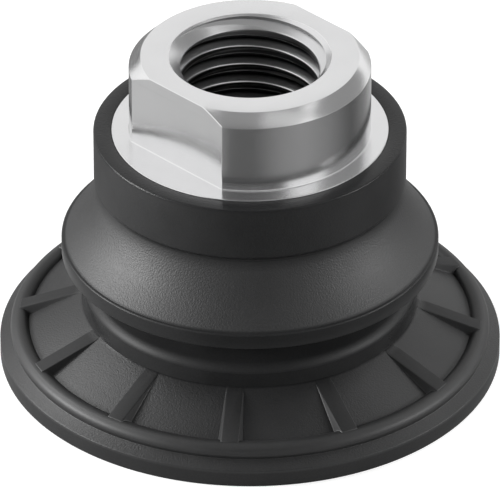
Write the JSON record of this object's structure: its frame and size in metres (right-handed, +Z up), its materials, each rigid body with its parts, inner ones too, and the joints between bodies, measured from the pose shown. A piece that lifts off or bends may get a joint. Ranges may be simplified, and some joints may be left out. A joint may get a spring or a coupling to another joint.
{
  "type": "vacuum gripper",
  "caption": "Round bellows suction cup in black rubber with ribbed lip and folded wall, held on a threaded aluminium connector with wrench flats and a through bore.",
  "frame": {"origin": "centre of the plane that the lip seals on, at the bottom of the part", "axes": "+Z up the cup's axis towards the threaded connector; the wrench flats face 45 degrees between -X and -Y and the opposite way"},
  "size_m": [0.042, 0.042, 0.0286],
  "materials": {
    "cup_rubber": "matt moulded rubber with a fine grain",
    "connector_aluminium": "turned and milled, satin"
  },
  "bodies": {
    "root": {"bellows_cup": "cup_rubber", "threaded_connector": "connector_aluminium"}
  },
  "joints": []
}
